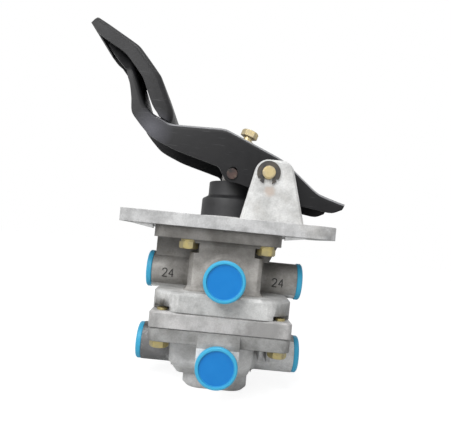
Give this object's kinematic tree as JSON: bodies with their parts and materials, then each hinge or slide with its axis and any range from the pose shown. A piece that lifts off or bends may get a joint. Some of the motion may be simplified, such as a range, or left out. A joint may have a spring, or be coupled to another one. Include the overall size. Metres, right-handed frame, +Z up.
{
  "type": "foot brake valve",
  "caption": "Truck foot brake valve: a folded treadle pedal on a cast mounting bracket presses a two-circuit air valve with capped side and front ports.",
  "frame": {"origin": "on the valve axis, in the underside of the mounting plate, at the centre of its four bolt holes", "axes": "+Z up along the valve axis, +X along the plate towards the pedal's tail, +Y away from the front ports"},
  "size_m": [0.2164, 0.1205, 0.2925],
  "materials": {
    "cast_pale": "pale chill-cast aluminium, matt",
    "cast_body": "die-cast aluminium, weathered grey",
    "cast_plate": "machined cast aluminium",
    "black_paint": "black paint, satin",
    "black_rubber": "moulded rubber",
    "zinc_yellow": "yellow zinc plating",
    "steel": "turned steel",
    "dark_steel": "oiled spring steel",
    "cap_blue": "moulded polyethylene, semi-gloss",
    "brass": "sintered bronze"
  },
  "bodies": {
    "housing": {"mounting_bracket": "cast_pale", "pivot_pin": "zinc_yellow", "pivot_clip_near": "dark_steel", "pivot_clip_far": "dark_steel", "dust_boot": "black_rubber", "plunger_guide_bush": "brass", "piston_return_spring": "dark_steel", "upper_valve_spring": "dark_steel", "upper_valve_guide": "steel", "upper_guide_clip": "dark_steel", "relay_return_spring": "dark_steel", "lower_valve_spring": "dark_steel", "lower_valve_guide": "steel", "lower_guide_clip": "dark_steel", "exhaust_retainer": "black_paint", "exhaust_flap": "black_rubber", "upper_body": "cast_body", "middle_plate": "cast_plate", "lower_body": "cast_body", "joint_seals": "black_rubber", "bracket_bolts": "zinc_yellow", "bracket_washers": "zinc_yellow", "body_bolts": "zinc_yellow", "plate_screws": "dark_steel", "cap_upper_front": "cap_blue", "cap_upper_left": "cap_blue", "cap_upper_right": "cap_blue", "cap_lower_front": "cap_blue", "cap_lower_left": "cap_blue", "cap_lower_right": "cap_blue"},
    "pedal": {"pedal_arm": "black_paint", "pedal_pad": "black_paint", "pivot_tube": "black_paint", "pivot_bushes": "brass", "cross_pin": "steel", "roller_fork": "steel", "adjusting_screw": "zinc_yellow", "adjusting_lock_nut": "zinc_yellow"},
    "roller": {"pressure_roller": "steel"},
    "plunger": {"plunger": "steel"},
    "piston": {"graduating_piston": "cast_plate", "piston_seal": "black_rubber", "graduating_spring": "dark_steel"},
    "upper_valve": {"upper_valve_head": "black_rubber"},
    "relay": {"relay_piston": "cast_plate", "relay_seal": "black_rubber"},
    "lower_valve": {"lower_valve_head": "black_rubber"}
  },
  "joints": [
    {"name": "pedal_pivot", "type": "hinge", "parent": "housing", "child": "pedal", "pos_m": [0.026, 0, 0.047], "axis": [0, -1, 0], "range_deg": [0, 16], "stiffness_Nm_per_rad": 60, "springref_deg": -5.73},
    {"name": "roller_spin", "type": "hinge", "parent": "pedal", "child": "roller", "pos_m": [-0.0019, 0, 0.0456], "axis": [0, 1, 0], "continuous": true},
    {"name": "plunger_slide", "type": "slide", "parent": "housing", "child": "plunger", "axis": [0, 0, -1], "range_m": [0, 0.0078], "deforming": ["dust_boot", "graduating_spring"]},
    {"name": "piston_slide", "type": "slide", "parent": "housing", "child": "piston", "axis": [0, 0, -1], "range_m": [0, 0.003], "deforming": ["piston_return_spring"]},
    {"name": "upper_valve_slide", "type": "slide", "parent": "housing", "child": "upper_valve", "axis": [0, 0, -1], "range_m": [0, 0.0014], "deforming": ["upper_valve_spring"]},
    {"name": "relay_slide", "type": "slide", "parent": "housing", "child": "relay", "axis": [0, 0, -1], "range_m": [0, 0.0026], "deforming": ["relay_return_spring"]},
    {"name": "lower_valve_slide", "type": "slide", "parent": "housing", "child": "lower_valve", "axis": [0, 0, -1], "range_m": [0, 0.001], "deforming": ["lower_valve_spring"]}
  ],
  "couplings": [
    {"joint": "plunger_slide", "follows": "pedal_pivot", "m_per_rad": 0.02793},
    {"joint": "piston_slide", "follows": "pedal_pivot", "m_per_rad": 0.01074},
    {"joint": "upper_valve_slide", "follows": "pedal_pivot", "m_per_rad": 0.00501},
    {"joint": "relay_slide", "follows": "pedal_pivot", "m_per_rad": 0.00931},
    {"joint": "lower_valve_slide", "follows": "pedal_pivot", "m_per_rad": 0.00358}
  ]
}
